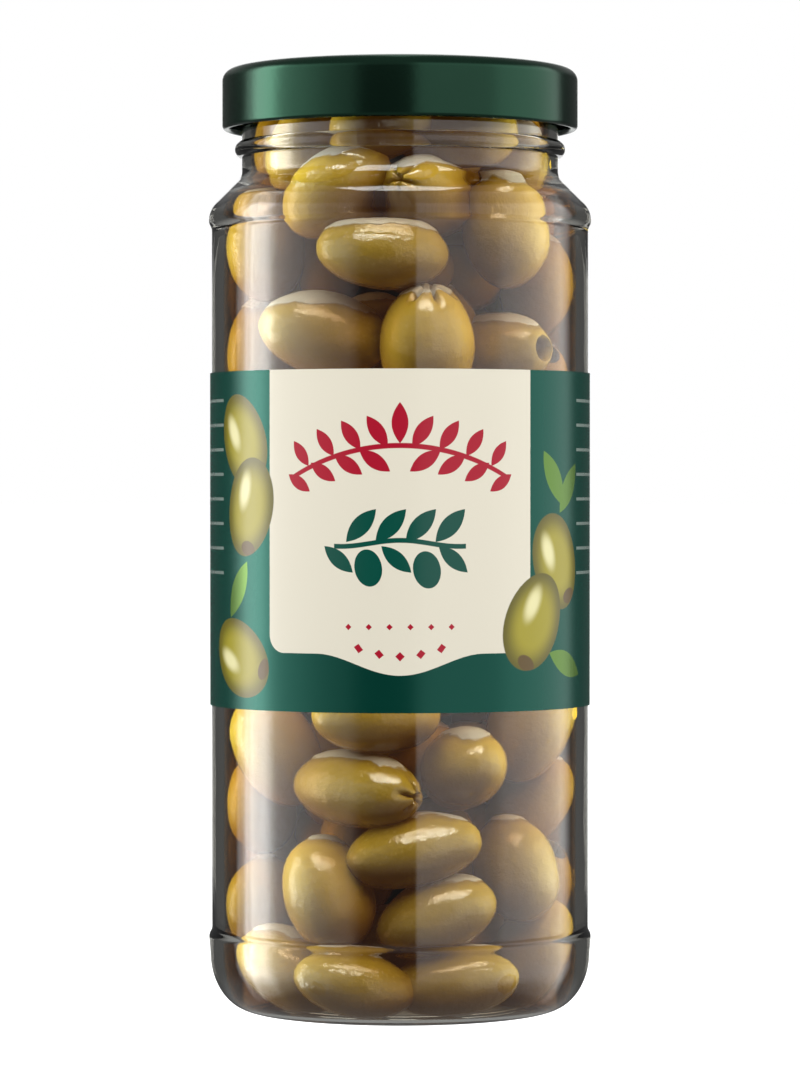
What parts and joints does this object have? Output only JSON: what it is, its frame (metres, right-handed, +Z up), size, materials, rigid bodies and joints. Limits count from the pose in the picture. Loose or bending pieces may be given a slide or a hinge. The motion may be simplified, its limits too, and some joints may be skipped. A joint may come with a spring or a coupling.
{
  "type": "jar of olives",
  "caption": "Tall round glass jar of green olives in brine, with a dark green pressed metal lid and a green paper label with a cream front panel.",
  "frame": {"origin": "centre of the jar's base, on the plane it stands on", "axes": "+Z runs up the jar's axis to the lid; +X is to the right when the label's cream panel faces the viewer, who looks along +Y"},
  "size_m": [0.0648, 0.0648, 0.1591],
  "materials": {
    "glass_jar": "clear and polished, with rounded mould ridges",
    "lid": "glossy dark green lacquer",
    "label": "semi-gloss print in green and cream",
    "olives": "wet, smooth and slightly wrinkled fruit skin"
  },
  "bodies": {
    "root": {"glass_jar": "glass_jar", "lid": "lid", "label": "label", "olives": "olives"}
  },
  "joints": []
}
